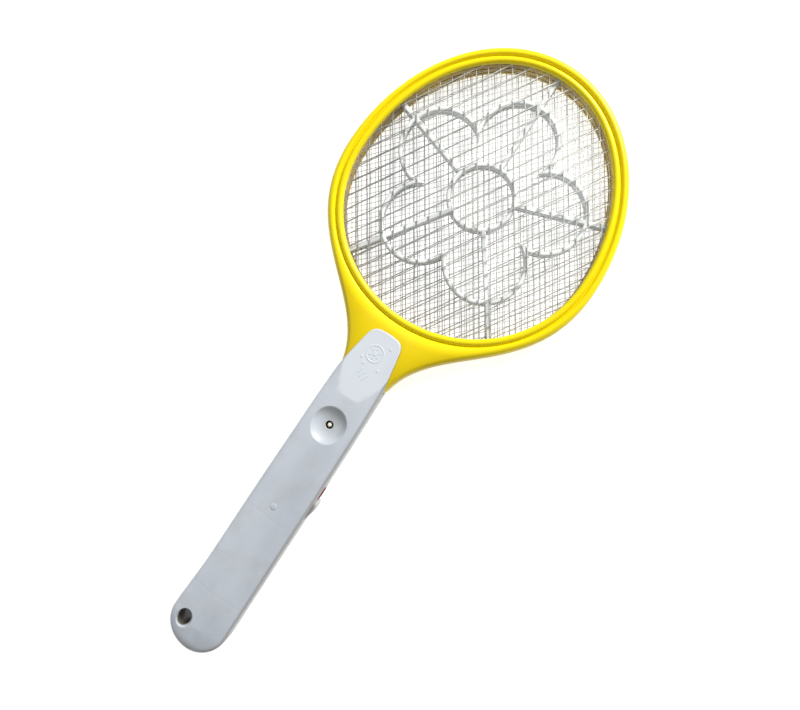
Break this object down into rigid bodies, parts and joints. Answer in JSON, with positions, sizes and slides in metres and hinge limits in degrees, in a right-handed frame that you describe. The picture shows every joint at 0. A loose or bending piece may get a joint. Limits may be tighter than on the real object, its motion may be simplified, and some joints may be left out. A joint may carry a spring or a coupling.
{
  "type": "electric fly swatter",
  "caption": "Racket-shaped electric fly swatter: egg-shaped head with layered wire nets and flower ribs, flared neck, slim battery handle with side push button and hang hole.",
  "frame": {"origin": "centre of the outline on the plane the back rests on", "axes": "+Z out of the front face, +Y from the butt of the handle to the head, +X toward the push button side"},
  "size_m": [0.1928, 0.46, 0.027],
  "materials": {
    "yellow": "moulded bright yellow styrene plastic, semi-gloss",
    "handle_grey": "moulded pale blue-grey plastic, satin",
    "rib_grey": "moulded pale grey-white plastic, satin",
    "button_red": "moulded dark red plastic",
    "net_steel": "galvanised steel wire, bright",
    "spring_steel": "plated spring wire",
    "screw_steel": "zinc-plated steel",
    "contact_nickel": "nickel-plated steel strip",
    "board_green": "glass-epoxy board with green solder mask",
    "switch_black": "black moulded plastic",
    "plunger_white": "white moulded plastic",
    "led_lens": "clear cream epoxy lens",
    "ferrite": "grey-black sintered ferrite",
    "winding_tape": "amber polyester tape over copper winding",
    "film_capacitor": "red-brown dipped resin",
    "ceramic_blue": "blue dipped resin",
    "component_black": "black moulded resin",
    "resistor_tan": "tan lacquer with plain bands",
    "cell_label": "plain dark blue sleeve on a steel can",
    "lead_red": "red PVC insulation",
    "lead_black": "black PVC insulation",
    "lead_white": "white PVC insulation"
  },
  "bodies": {
    "racket": {"front_frame": "yellow", "back_frame": "yellow", "front_spacer_ring": "yellow", "back_spacer_ring": "yellow", "front_rib_flower": "rib_grey", "back_rib_flower": "rib_grey", "front_net": "net_steel", "live_net": "net_steel", "back_net": "net_steel", "front_handle_shell": "handle_grey", "back_handle_shell": "handle_grey", "button_spring": "spring_steel", "switch_body": "switch_black", "circuit_board": "board_green", "transformer_core": "ferrite", "transformer_winding": "winding_tape", "storage_capacitor": "film_capacitor", "transistor": "component_black", "resistor": "resistor_tan", "indicator_led": "led_lens", "battery_1": "cell_label", "battery_2": "cell_label", "link_plate": "contact_nickel", "positive_plate": "contact_nickel", "negative_plate": "contact_nickel", "cell_spring_1": "spring_steel", "cell_spring_2": "spring_steel", "battery_lead_red": "lead_red", "battery_lead_black": "lead_black", "front_net_lead": "lead_white", "live_net_lead": "lead_red", "back_net_lead": "lead_white", "rim_screw_1": "screw_steel", "rim_screw_2": "screw_steel", "rim_screw_3": "screw_steel", "rim_screw_4": "screw_steel", "rim_screw_5": "screw_steel", "flare_screw_1": "screw_steel", "flare_screw_2": "screw_steel", "neck_screw_1": "screw_steel", "neck_screw_2": "screw_steel", "handle_screw_1": "screw_steel", "handle_screw_2": "screw_steel", "handle_screw_3": "screw_steel", "boost_capacitor_1": "ceramic_blue", "boost_capacitor_2": "ceramic_blue", "boost_capacitor_3": "ceramic_blue", "diode_1": "component_black", "diode_2": "component_black", "diode_3": "component_black"},
    "battery_door": {"battery_door": "handle_grey"},
    "trigger": {"push_button": "button_red", "switch_plunger": "plunger_white"}
  },
  "joints": [
    {"name": "push_button_slide", "type": "slide", "parent": "racket", "child": "trigger", "axis": [-1, 0, 0], "range_m": [0, 0.0015], "stiffness_N_per_m": 400, "springref_m": -0.002, "deforming": ["button_spring"]},
    {"name": "battery_door_hinge", "type": "hinge", "parent": "racket", "child": "battery_door", "pos_m": [0, -0.12315, 0], "axis": [1, 0, 0], "range_deg": [0, 70]}
  ]
}
